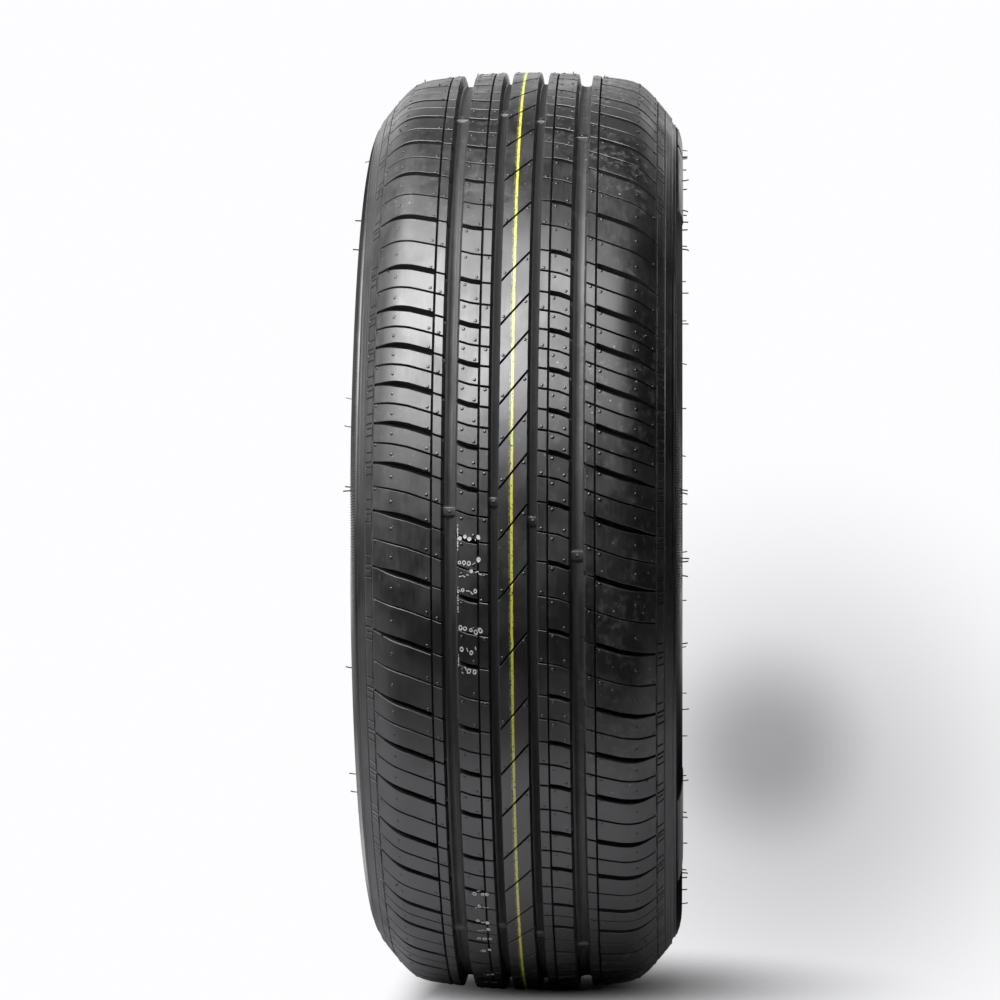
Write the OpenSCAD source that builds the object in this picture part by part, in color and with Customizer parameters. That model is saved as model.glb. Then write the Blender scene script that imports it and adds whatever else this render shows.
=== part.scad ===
/* [Tyre] */
// Outside diameter across the crown
outer_d = 632; // [600:1:660]
// Width across the bare sidewalls
section_w = 209; // [200:1:225]
// Diameter at which the sidewalls are widest
widest_d = 520; // [500:1:535]
// How far the tread is pressed flat where it stands
flat_depth = 2; // [1:0.25:4]

/* [Beads] */
// Diameter of the cylindrical land at each bead toe
land_d = 403; // [395:0.5:410]
// Width of each cylindrical land
land_w = 6; // [4:0.5:8]
// Width across both beads at their heels
bead_span = 165; // [150:1:172]
// Width of one bead across its base
bead_w = 18; // [16:0.5:21]
// Rise of the bead base from toe to heel
bead_taper = 1.4; // [0.8:0.1:2]
// Radius of the bead heel
heel_r = 5; // [3:0.5:6]

/* [Rubber] */
// Thickness from the crown to the air chamber
crown_gauge = 16; // [14:0.5:20]
// Thickness of the sidewall where it is widest
sidewall_gauge = 7.5; // [5:0.5:10]

/* [Tread] */
// Width across the two shoulder edges
tread_w = 176; // [168:1:186]
// Drop of the shoulder edges below the crown
shoulder_drop = 20; // [17:0.5:24]
// Width of each rounded shoulder
shoulder_round = 14; // [10:0.5:18]
// Radius of the crown across the tread
crown_radius = 440; // [380:10:800]
// Width of the centre rib
centre_rib_w = 17.5; // [14:0.5:20]
// Width of the two inner grooves
inner_groove_w = 6.6; // [5:0.2:8]
// Width of the two ribs beside the inner grooves
block_rib_w = 19.2; // [17:0.2:21]
// Width of the two outer grooves
outer_groove_w = 10; // [8:0.5:11]
// Depth of the four main grooves
groove_depth = 8; // [7:0.25:8.5]
// How far each groove wall leans in at the floor
groove_draft = 0.7; // [0.3:0.1:1]
// Width of the narrow strip between a main groove and the fine groove beside it
strip_w = 6.1; // [5:0.1:7]

/* [Cuts across the tread] */
// Width of the fine grooves and sipes
sipe_w = 1.2; // [0.8:0.1:1.4]
// Depth of the fine grooves that run round the tyre
fine_groove_depth = 7; // [6.75:0.25:8]
// Depth of the sipes
sipe_depth = 5; // [4:0.5:5.5]
// Width of the wide slots
slot_w = 3.8; // [2.5:0.1:4.5]
// Width of the wide slots on the block ribs
rib_slot_w = 3.4; // [2.2:0.1:4.2]
// Depth of the wide slots
slot_depth = 5.5; // [4.5:0.5:6.5]
// Height above the shoulder edge at which the slots run out
slot_runout = 2.2; // [1.6:0.2:3.6]
// Run of a centre sipe along the tread, from the middle to one side
centre_sipe_run = 11; // [8:0.5:12]

/* [Wear bars] */
// Rows of wear bars round the tyre
wear_rows = 6; // [4:1:8]
// Height of a wear bar above the groove floor
wear_bar_h = 1.6; // [1.2:0.2:2.4]
// Length of a wear bar along the groove
wear_bar_l = 9; // [6:0.5:12]

/* [Sidewall] */
// Height of the raised rings on the sidewall
ring_h = 0.8; // [0.5:0.1:1.2]
// Vent spews on each sidewall
spew_count = 18; // [8:1:24]
// Length of a vent spew
spew_len = 5; // [3:0.5:7]
// Thickness of a vent spew
spew_d = 1; // [0.8:0.1:1.4]

/* [Hidden] */

outer_r = outer_d / 2;
land_r = land_d / 2;
half_section = section_w / 2;
half_tread = tread_w / 2;

// Pitches round the tread, short to extra long, in degrees before they are fitted to 360
PITCH_LENGTHS = [["S", 4.84], ["M", 5.78], ["L", 6.69], ["X", 7.72]];
// Their order going down from the front, mixed so that the tread doesn't hum
PITCH_ORDER = "LXXMMLMLSLMXXLMSSMLXLMMSSLXMSMLXLSMXLSMLXXMSSLLMLLXXMSSSSM";
// Angle of the first pitch below the front of the tyre
PITCH_START = -1.3;
pitches = len(PITCH_ORDER);
function pitch_length(i) = PITCH_LENGTHS[search(PITCH_ORDER[i], PITCH_LENGTHS)[0]][1];
function length_to(i) = i == 0 ? 0 : length_to(i - 1) + pitch_length(i - 1);
pitch_total = length_to(pitches);
function pitch_angle(i) = PITCH_START + 360 * length_to(i) / pitch_total;

// Places across the tread, from the centre to one side
rib_in = centre_rib_w / 2 + inner_groove_w;
rib_out = rib_in + block_rib_w;
shoulder_in = rib_out + outer_groove_w;
rib_sipe_at = rib_in + strip_w;
shoulder_sipe_at = shoulder_in + strip_w;
crown_end = half_tread - shoulder_round;
function crown_at(w) = outer_r - w * w / (2 * crown_radius);

// Points of a curve with four control points, without the first one
function curve(a, b, c, d, n) =
    [for (i = [1:n]) let (t = i / n, u = 1 - t)
        u * u * u * a + 3 * u * u * t * b + 3 * u * t * t * c + t * t * t * d];

// Outside of one half from the crown to the bead toe, as radius and distance from the centre
crown_edge = [crown_at(crown_end), crown_end];
crown_lean = [-crown_end / crown_radius, 1];
edge = [outer_r - shoulder_drop, half_tread];
edge_lean = [-0.76, 0.65];
widest = [widest_d / 2, half_section];
heel_top = [land_r + bead_taper + heel_r, bead_span / 2];
heel_foot = [land_r + bead_taper, bead_span / 2 - heel_r];
toe = bead_span / 2 - bead_w;
crown_points = [for (w = [0, shoulder_sipe_at, crown_end]) [crown_at(w), w]];
shoulder_points = curve(crown_edge, crown_edge + crown_lean * shoulder_round / 2,
    edge - edge_lean * shoulder_round / 2, edge, 2);
wall_rise = edge[0] - widest[0];
wall_fall = widest[0] - heel_top[0];
upper_wall_points = curve(edge, edge + edge_lean * 13, widest + [wall_rise / 2, 0], widest, 6);
lower_wall_points = curve(widest, widest - [wall_fall * 0.38, 0],
    heel_top + [wall_fall * 0.38, 4], heel_top, 7);
heel_points = curve(heel_top, heel_top - [heel_r * 0.55, 0],
    heel_foot + [0, heel_r * 0.45], heel_foot, 3);
land_points = [[land_r, toe + land_w + 1], [land_r, toe + 1], [land_r + 1, toe]];
outside = concat(crown_points, shoulder_points, upper_wall_points, lower_wall_points,
    heel_points, land_points);

// Air chamber side of one half, from the bead toe back to the crown, widest midway between them
chamber_r = outer_r - crown_gauge;
inner_toe = [land_r + 1, toe];
inner_widest = [(land_r + chamber_r) / 2, half_section - sidewall_gauge];
inner_crown = [chamber_r - 1.5, half_tread * 0.45];
toe_rise = inner_widest[0] - inner_toe[0];
crown_rise = inner_crown[0] - inner_widest[0];
chamber = concat(
    curve(inner_toe, inner_toe + [toe_rise * 0.4, 0],
        inner_widest - [toe_rise * 0.5, 1], inner_widest, 6),
    curve(inner_widest, inner_widest + [crown_rise * 0.5, -1],
        inner_crown + [-7, 40], inner_crown, 6),
    [[chamber_r, 0]]);

// Raised rings round each sidewall, as place and width, with a place of 0 where the wall
// is widest, 1 at the shoulder edge and -1 at the bead
RINGS = [[0.72, 2], [0.3, 1.2], [-0.46, 3], [-0.67, 1.5], [-0.79, 1.5]];
function ring_r(place) = widest[0] + place * (place > 0 ? wall_rise : wall_fall);
function wall_at(r) = lookup(r, concat(upper_wall_points, lower_wall_points));

// How far along the tread a cut lies from its pitch line, at a distance from the centre
SLANT = [[8, -13.6], [18, -12.8], [28, -10.9], [48, -3.4], [66, 2.9], [90, 9]];
function slant(w) = lookup(w, SLANT);

module raised_ring_2d(r, w) {
    polygon([[r - w / 2 - ring_h, wall_at(r - w / 2 - ring_h) - 1],
        [r - w / 2, wall_at(r - w / 2) + ring_h],
        [r + w / 2, wall_at(r + w / 2) + ring_h],
        [r + w / 2 + ring_h, wall_at(r + w / 2 + ring_h) - 1]]);
}

module half_section_2d() {
    polygon(concat(outside, chamber));
    for (ring = RINGS)
        raised_ring_2d(ring_r(ring[0]), ring[1]);
}

// A main groove between two places across the tread, with walls that lean in
module groove_2d(from, to) {
    floor_r = crown_at(from) - groove_depth;
    top_r = outer_r + 1;
    spread = groove_draft * (top_r - floor_r) / groove_depth - groove_draft;
    polygon([[floor_r, from + groove_draft], [floor_r, to - groove_draft],
        [top_r, to + spread], [top_r, from - spread]]);
}

module fine_groove_2d(at) {
    translate([crown_at(at) - fine_groove_depth, at - sipe_w / 2])
        square([2 * fine_groove_depth, sipe_w]);
}

module half_grooves_2d() {
    groove_2d(centre_rib_w / 2, rib_in);
    groove_2d(rib_out, shoulder_in);
    fine_groove_2d(rib_sipe_at);
    fine_groove_2d(shoulder_sipe_at);
}

// The carcass with its tread bands, sidewalls and beads, turned round Z
module turned_body() {
    rotate_extrude($fn = 180)
        difference() {
            union() {
                half_section_2d();
                mirror([0, 1]) half_section_2d();
            }
            half_grooves_2d();
            mirror([0, 1]) half_grooves_2d();
        }
}

// A cut through the ribs, with its width at each place across the tread
module rib_cut(stations, depth) {
    floor_r = crown_at(rib_out) - depth;
    side = [for (p = stations) [slant(p[0]) + p[1] / 2, p[0]]];
    back = [for (i = [len(stations) - 1:-1:0])
        [slant(stations[i][0]) - stations[i][1] / 2, stations[i][0]]];
    rotate([90, 0, 90])
        translate([0, 0, floor_r])
            linear_extrude(outer_r + 1 - floor_r)
                polygon(concat(side, back));
}

// A cut across one shoulder, whose floor runs out at the shoulder edge
module shoulder_cut(w, depth) {
    from = shoulder_sipe_at;
    to = half_tread + 2;
    run = to - from;
    turn = atan((slant(to) - slant(from)) / run);
    end_r = outer_r - shoulder_drop + slot_runout;
    translate([0, slant(from), from])
        rotate([turn - 90, 0, 0])
            linear_extrude(w, center = true)
                polygon([[crown_at(from) - depth, 0], [end_r, -run / cos(turn)],
                    [outer_r, -run / cos(turn)], [outer_r, 0]]);
}

// A wide slot over one half of the tread, fine where it crosses the narrow strips
module slot() {
    rib_cut([[rib_in - 1, sipe_w], [rib_sipe_at, sipe_w], [rib_sipe_at, rib_slot_w],
        [rib_out + 1, rib_slot_w], [rib_out + 1, sipe_w], [shoulder_sipe_at, sipe_w]], sipe_depth);
    shoulder_cut(slot_w, slot_depth);
}

// A fine sipe over one half of the tread
module sipe() {
    rib_cut([[rib_in - 1, sipe_w], [rib_sipe_at, sipe_w], [shoulder_sipe_at, sipe_w]], sipe_depth);
    shoulder_cut(sipe_w, sipe_depth);
}

// The slanting sipe across the centre rib
module centre_sipe() {
    w = centre_rib_w / 2 + 1;
    run = centre_sipe_run * w / (centre_rib_w / 2);
    floor_r = outer_r - sipe_depth;
    rotate([90, 0, 90])
        translate([0, 0, floor_r])
            linear_extrude(sipe_depth + 1)
                polygon([[-run - sipe_w, w], [-run + sipe_w, w],
                    [run + sipe_w, -w], [run - sipe_w, -w]]);
}

// The same cuts on both halves, turned half round so that the tread has no direction
module both_halves() {
    children();
    rotate([180, 0, 0]) children();
}

module tread_cuts() {
    for (i = [0:pitches - 1]) {
        rotate(pitch_angle(i)) {
            both_halves() slot();
            centre_sipe();
        }
        rotate((pitch_angle(i) + pitch_angle(i + 1)) / 2)
            both_halves() sipe();
    }
}

module wear_bar(at, groove_w) {
    floor_r = crown_at(at) - groove_depth;
    translate([floor_r - 1, -wear_bar_l / 2, at - groove_w / 2 - 0.5])
        cube([1 + wear_bar_h, wear_bar_l, groove_w + 1]);
}

// Each row has one bar in each main groove, staggered by a few degrees
module wear_bars() {
    inner_at = centre_rib_w / 2 + inner_groove_w / 2;
    outer_at = rib_out + outer_groove_w / 2;
    bars = [[-outer_at, outer_groove_w, -2], [-inner_at, inner_groove_w, -3.7],
        [inner_at, inner_groove_w, -1.5], [outer_at, outer_groove_w, 2.5]];
    for (i = [0:wear_rows - 1], bar = bars)
        rotate(i * 360 / wear_rows + bar[2])
            wear_bar(bar[0], bar[1]);
}

// Thin rubber hairs left by the mould's vents, standing out of each sidewall
module vent_spews() {
    for (side = [0, 180], i = [0:spew_count - 1])
        rotate([side, 0, 0])
            rotate((i + 0.5) * 360 / spew_count)
                translate([widest[0], 0, half_section - 1])
                    cylinder(h = spew_len + 1, d = spew_d, $fn = 16);
}

// The tyre upright on its tread, its axle along Y
module tyre() {
    color([0.13, 0.13, 0.14])
        rotate([-90, 0, 0])
            difference() {
                union() {
                    turned_body();
                    wear_bars();
                    vent_spews();
                }
                tread_cuts();
                translate([-outer_r / 2, outer_r - flat_depth, -half_section])
                    cube([outer_r, flat_depth + 1, section_w]);
            }
}

tyre();
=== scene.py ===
import math
import random

import bmesh
import bpy
from mathutils import Matrix, Vector
from mathutils.geometry import interpolate_bezier


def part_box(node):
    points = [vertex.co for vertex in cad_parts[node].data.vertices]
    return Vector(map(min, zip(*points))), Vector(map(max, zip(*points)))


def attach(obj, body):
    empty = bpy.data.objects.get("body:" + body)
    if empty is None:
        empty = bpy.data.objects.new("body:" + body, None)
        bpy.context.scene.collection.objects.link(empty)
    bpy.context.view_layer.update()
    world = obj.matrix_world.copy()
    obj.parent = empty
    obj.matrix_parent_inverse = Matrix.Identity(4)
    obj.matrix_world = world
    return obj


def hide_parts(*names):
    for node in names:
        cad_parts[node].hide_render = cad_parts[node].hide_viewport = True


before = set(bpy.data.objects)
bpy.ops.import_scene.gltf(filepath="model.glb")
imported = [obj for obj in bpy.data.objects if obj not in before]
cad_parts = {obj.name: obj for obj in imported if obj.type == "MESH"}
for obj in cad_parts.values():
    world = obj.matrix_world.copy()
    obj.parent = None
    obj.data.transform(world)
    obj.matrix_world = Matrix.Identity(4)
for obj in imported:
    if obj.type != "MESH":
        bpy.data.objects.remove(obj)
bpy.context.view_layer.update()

# Tread: the thick band of rubber that runs on the road, one closed ring cured onto the carcass.
# The mould presses its grooves, slots and sipes, and leaves a small round on every edge.
# Sizes are in millimetres: w is across the tyre, s along the tread and r from the axle.
MM = 0.001
MERGE = 0.01 * MM
tyre_low, tyre_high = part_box("tyre")
FLAT_Z = tyre_low.z  # the small flat on which the tyre stands
PIP_H = 0.4
PIP_CLEAR = 0.1
OUTER_R = tyre_high.z / MM - PIP_H - PIP_CLEAR
CROWN_RADIUS = 440
CROWN_END = 64
EDGE = Vector((296, 88))  # r and w of the shoulder edge
EDGE_LEAN = Vector((-0.76, 0.65))
SHOULDER_ROUND = 24
SHOULDER_STEPS = 24
WIDEST = Vector((260, 104.5))  # r and w of the widest part
WALL_PULLS = (13, 18)
WALL_STEPS = 30
CENTRE_HALF = 8.75
INNER_GROOVE = (CENTRE_HALF, 15.35)
OUTER_GROOVE = (34.55, 44.55)
RIB_SIPE_AT = 21.45
SHOULDER_SIPE_AT = 50.65
GROOVE_DEPTH = 8
FINE_GROOVE_DEPTH = 7
GROOVE_DRAFT = 0.75
FILLET_SHARE = 0.28  # of the width of a groove
FILLET_MIDDLE = 0.29  # of the size of a fillet
EDGE_ROUND = 0.25
EDGE_DROP = 0.2
RIB_MIDDLES = (4.4, 28)
SHOULDER_PLACES = (57, 62, 66, 69.5, 72.5, 75.2, 77.6, 80, 82.2, 84.4, 86.8)
LIP = 0.3
LIP_W = 0.6
BAND_DEPTH = 11
UNDER_RISE = 2
UNDER_INSET = 0.5
UNDER_PLACES = (72, 30, -30, -72)
SIPE_W = 1.2
SIPE_DEPTH = 5.5
SIPE_END_DEPTH = 1.2
SLOT_W = 4.1
SLOT_DEPTH = 6.5
SLOT_NARROWS = (74, 85)
SLOT_END_W = 1.7
SLOT_END_DEPTH = 2.2
RIB_SLOT_W = 3.4
CUT_RISES = (70, 80)
CUT_FILLET = 0.5
CUT_DRAFT = 0.1
CUT_FLOOR_SHARE = 0.4
CUT_WALL_SHARE = 0.6
SLOT_STEPS = (-4, -3, -2, -1, 1, 2, 3, 4)
SIPE_STEPS = (-4, -3, -1, 1, 3, 4)
ROW_SHARES = {"slot": 0, "quarter": 0.26, "sipe": 0.5, "three": 0.74}
PITCH_LENGTHS = {"S": 4.84, "M": 5.78, "L": 6.69, "X": 7.72}
PITCH_ORDER = "LXXMMLMLSLMXXLMSSMLXLMMSSLXMSMLXLSMXLSMLXXMSSLLMLLXXMSSSSM"
PITCH_START = -1.3
SLANT = [(0, 0), (CENTRE_HALF, -11), (15.35, -13), (18, -12.8), (28, -10.9), (48, -3.4), (66, 2.9),
         (90, 9)]
# Depth below the surface at which the painted shade of sunk rubber is full.
PAINTED_SHADE_FULL_DEPTH = 3
# Feet of two grooves that get less painted shade, a painted highlight where the light falls on
# them.
PAINTED_LIGHT_FEET = ((-38.2, -36), (40.9, 43.1))
HIGHLIGHT_FOOT_SHADE = 0.3
GLOSSY_FEET = ((-44.6, -42), (-15.4, -13.5), (8.7, 10.6), (34.5, 37))
SHARP_ANGLE = math.radians(34)
TREAD_SHARP = math.radians(20)


def lookup(x, points):
    """Value at x on the line through points of (x, value), with x rising."""
    for (x0, y0), (x1, y1) in zip(points, points[1:]):
        if x <= x1:
            return y0 + (y1 - y0) * (x - x0) / (x1 - x0)
    return points[-1][1]


def crown_at(w):
    return OUTER_R - w * w / (2 * CROWN_RADIUS)


crown_edge = Vector((crown_at(CROWN_END), CROWN_END))
crown_lean = Vector((-CROWN_END / CROWN_RADIUS, 1))
shoulder = interpolate_bezier(crown_edge, crown_edge + crown_lean * SHOULDER_ROUND / 2,
                              EDGE - EDGE_LEAN * SHOULDER_ROUND / 2, EDGE, SHOULDER_STEPS)
upper_wall = interpolate_bezier(EDGE, EDGE + EDGE_LEAN * WALL_PULLS[0],
                                WIDEST + Vector((WALL_PULLS[1], 0)), WIDEST, WALL_STEPS)
shoulder_line = [(p.y, p.x) for p in shoulder + upper_wall[1:]]


def surface_r(w):
    """Radius of the smooth outside at a place across the tyre, down to the widest part."""
    return crown_at(w) if abs(w) <= CROWN_END else lookup(abs(w), shoulder_line)


def slant(w):
    """How far along the tread a cut has moved from its pitch line."""
    return lookup(abs(w), SLANT) * (1 if w >= 0 else -1)


def on_tyre(w, angle, s, r):
    """Point in metres, where angle runs down from the front of the tyre in degrees."""
    turn = math.radians(angle) + s / OUTER_R
    return Vector((r * math.cos(turn), w, -r * math.sin(turn))) * MM


def pitch_angles():
    """Start of every pitch round the tyre, and the start of the first one again."""
    angles = [0]
    for letter in PITCH_ORDER:
        angles.append(angles[-1] + PITCH_LENGTHS[letter])
    return [PITCH_START + 360 * a / angles[-1] for a in angles]


PITCHES = pitch_angles()


def groove_columns(start, end):
    """Section of a main groove: steep walls on two large round feet and a narrow flat floor."""
    fillet = (end - start) * FILLET_SHARE
    middle = fillet * FILLET_MIDDLE
    foot = [(0, GROOVE_DEPTH - fillet), (middle, GROOVE_DEPTH - middle), (fillet, GROOVE_DEPTH)]
    near = start + GROOVE_DRAFT
    far = end - GROOVE_DRAFT
    columns = [(start - EDGE_ROUND, 0), (start, EDGE_DROP)] + [(near + w, d) for w, d in foot]
    columns += [(far - w, d) for w, d in reversed(foot)]
    return columns + [(end, EDGE_DROP), (end + EDGE_ROUND, 0)]


def fine_groove_columns(at):
    half = SIPE_W / 2
    wall = [(half + EDGE_ROUND, 0), (half, EDGE_DROP), (half - CUT_DRAFT, FINE_GROOVE_DEPTH)]
    return [(at - w, d) for w, d in wall] + [(at + w, d) for w, d in reversed(wall)]


def tread_columns():
    """(place across, depth below the surface) once round the section of the tread."""
    half = [(RIB_MIDDLES[0], 0)] + groove_columns(*INNER_GROOVE)
    half += fine_groove_columns(RIB_SIPE_AT) + [(RIB_MIDDLES[1], 0)]
    half += groove_columns(*OUTER_GROOVE) + fine_groove_columns(SHOULDER_SIPE_AT)
    half += [(w, 0) for w in SHOULDER_PLACES] + [(EDGE.y - LIP_W, -LIP), (EDGE.y, 0)]
    top = [(-w, d) for w, d in reversed(half)] + [(0, 0)] + half
    under = [(EDGE.y - UNDER_INSET, BAND_DEPTH - UNDER_RISE)]
    under += [(w, BAND_DEPTH) for w in UNDER_PLACES]
    under += [(UNDER_INSET - EDGE.y, BAND_DEPTH - UNDER_RISE)]
    return top + under + [top[0]]


def cut_width(kind, w):
    """Width along the tread of a slot or a sipe at a place across it."""
    if abs(w) < CENTRE_HALF:
        return SIPE_W * math.hypot(1, SLANT[1][1] / SLANT[1][0])
    if kind == "sipe" or abs(w) < RIB_SIPE_AT or OUTER_GROOVE[1] < abs(w) < SHOULDER_SIPE_AT:
        return SIPE_W
    if abs(w) < OUTER_GROOVE[1]:
        return RIB_SLOT_W
    start, end = SLOT_NARROWS
    return lookup(abs(w), [(0, SLOT_W), (start, SLOT_W), (end, SLOT_END_W)])


def cut_depth(kind, w):
    """Depth of a slot or a sipe, which runs out at the shoulder edge."""
    if abs(w) < CENTRE_HALF:
        return SIPE_DEPTH if kind == "slot" else 0
    full, end = (SLOT_DEPTH, SLOT_END_DEPTH) if kind == "slot" else (SIPE_DEPTH, SIPE_END_DEPTH)
    first, second = CUT_RISES
    return lookup(abs(w), [(0, full), (first, full), (second, (full + end) / 2), (EDGE.y, end)])


def row_place(kind, step, w):
    """(move along the tread, depth) of a row beside a cut, from 4 outside it to 1 on its floor."""
    depth = cut_depth(kind, w)
    half = cut_width(kind, w) / 2
    across = {4: half + EDGE_ROUND, 3: half, 2: half - CUT_DRAFT,
              1: max(half - CUT_DRAFT - CUT_FILLET, half * CUT_FLOOR_SHARE)}
    sunk = {4: 0, 3: min(EDGE_DROP, depth), 2: max(depth - CUT_FILLET, depth * CUT_WALL_SHARE),
            1: depth}
    size = abs(step)
    return math.copysign(across[size], step), sunk[size]


def tread_rows():
    """(angle, kind of cut, step) of every row of points round the tread."""
    rows = []
    for start, end in zip(PITCHES, PITCHES[1:]):
        at = {name: start + (end - start) * share for name, share in ROW_SHARES.items()}
        rows += [(at["slot"], "slot", step) for step in SLOT_STEPS]
        rows.append((at["quarter"], "block", 0))
        rows += [(at["sipe"], "sipe", step) for step in SIPE_STEPS]
        rows.append((at["three"], "block", 0))
    return rows + [(rows[0][0] + 360, *rows[0][1:])]


def grid_place(vert, columns, rows):
    """The column and the row that a point of a new grid stands for."""
    column = columns[round((vert.co.x + 1) / 2 * (len(columns) - 1))]
    return column, rows[round((vert.co.y + 1) / 2 * (len(rows) - 1))]


def within(w, ranges):
    return any(low <= w <= high for low, high in ranges)


def new_piece(name, bm, material, sharp=SHARP_ANGLE):
    """Mesh object at the origin, with smooth faces that break at sharp edges."""
    mesh = bpy.data.meshes.new(name)
    bm.to_mesh(mesh)
    bm.free()
    mesh.materials.append(material)
    mesh.shade_smooth()
    mesh.set_sharp_from_angle(angle=sharp)
    piece = bpy.data.objects.new(name, mesh)
    bpy.context.scene.collection.objects.link(piece)
    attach(piece, "root")
    return piece


def tread_mesh():
    """Closed grid round the tyre, which also stores how much painted shade each point gets from how
    sunk it is, and how dull it is.
    """
    columns = tread_columns()
    rows = tread_rows()
    bm = bmesh.new()
    painted_shade_layer = bm.verts.layers.float.new("sunk")
    dull_layer = bm.verts.layers.float.new("dull")
    bmesh.ops.create_grid(bm, x_segments=len(columns) - 1, y_segments=len(rows) - 1, size=1)
    for vert in bm.verts:
        (w, sunk), (angle, kind, step) = grid_place(vert, columns, rows)
        s = slant(w)
        if kind != "block":
            move, cut = row_place(kind, step, w)
            s += move
            if sunk < BAND_DEPTH - UNDER_RISE:
                sunk = max(sunk, cut)
        # Sunk points get painted shade, more the deeper they are.
        share = min(max(sunk, 0) / PAINTED_SHADE_FULL_DEPTH, 1)
        # The feet that catch the light get less painted shade, which paints a highlight there.
        if sunk > PAINTED_SHADE_FULL_DEPTH and within(w, PAINTED_LIGHT_FEET):
            share = HIGHLIGHT_FOOT_SHADE
        vert[painted_shade_layer] = share
        vert[dull_layer] = 0 if within(w, GLOSSY_FEET) else share
        vert.co = on_tyre(w, angle, s, surface_r(w) - sunk)
        vert.co.z = max(vert.co.z, FLAT_Z)
    bmesh.ops.remove_doubles(bm, verts=bm.verts, dist=MERGE)
    bmesh.ops.recalc_face_normals(bm, faces=bm.faces)
    return bm


def feed(tree, socket, value):
    """Links a value that is a socket, and sets any other."""
    if isinstance(value, bpy.types.NodeSocket):
        tree.links.new(value, socket)
    else:
        socket.default_value = value


def new_node(tree, kind, **settings):
    """Adds a node; a name with a capital is one of its inputs, any other its own setting."""
    made = tree.nodes.new(kind)
    for name, value in settings.items():
        if hasattr(made, name):
            setattr(made, name, value)
        else:
            feed(tree, made.inputs[name.replace("_", " ")], value)
    return made


def math_node(tree, operation, first, second=0.0, third=0.0):
    made = tree.nodes.new("ShaderNodeMath")
    made.operation = operation
    for socket, value in zip(made.inputs, (first, second, third)):
        feed(tree, socket, value)
    return made.outputs[0]


def mix_colour(tree, factor, first, second):
    """Mix node for colours, whose sockets 6 and 7 and output 2 are the ones for colours."""
    made = tree.nodes.new("ShaderNodeMix")
    made.data_type = "RGBA"
    for number, value in ((0, factor), (6, first), (7, second)):
        feed(tree, made.inputs[number], value)
    return made.outputs[2]


def noise(tree, place, **settings):
    made = new_node(tree, "ShaderNodeTexNoise", Vector=place, **settings)
    return made.outputs["Fac"]


def ramp(tree, value, low, high):
    """0 below low and 1 above high, eased between them."""
    made = tree.nodes.new("ShaderNodeMapRange")
    made.interpolation_type = "SMOOTHSTEP"
    made.inputs["From Min"].default_value = low
    made.inputs["From Max"].default_value = high
    tree.links.new(value, made.inputs["Value"])
    return made.outputs["Result"]


CLOUD_NOISE = {"Scale": 22.0, "Detail": 5.0, "Roughness": 0.6}
CLOUD_RANGE = (0.4, 0.66)
SETTLED_UP = (-0.15, 0.25)
SETTLED_ACROSS = (-0.03, 0.06)
STREAK_SCALE = (70, 700, 70)
STREAK_NOISE = {"Scale": 1.0, "Detail": 3.0}
STREAK_BLOOM = 0.7
STREAK_GRAIN = 0.8
SPECK_SCALE = 260.0
SPECK_PICKED = (0.86, 0.96)
SPECK_EDGE = (0.1, 0.22)
PATCH_NOISE = {"Scale": 9.0, "Detail": 2.0}
SPECK_PATCHES = (0.38, 0.62)
FILM_NOISE = {"Scale": 170.0, "Detail": 5.0, "Roughness": 0.65}
FILM_RANGE = (0.48, 0.78)
FILM_PATCHES = (0.4, 0.6)
FILM_SHARE = 0.27
GRAIN_NOISE = {"Scale": 1500.0, "Detail": 2.0}
GRAIN_HEIGHT = 0.00004
GRAIN_STRENGTH = 0.5


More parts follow.
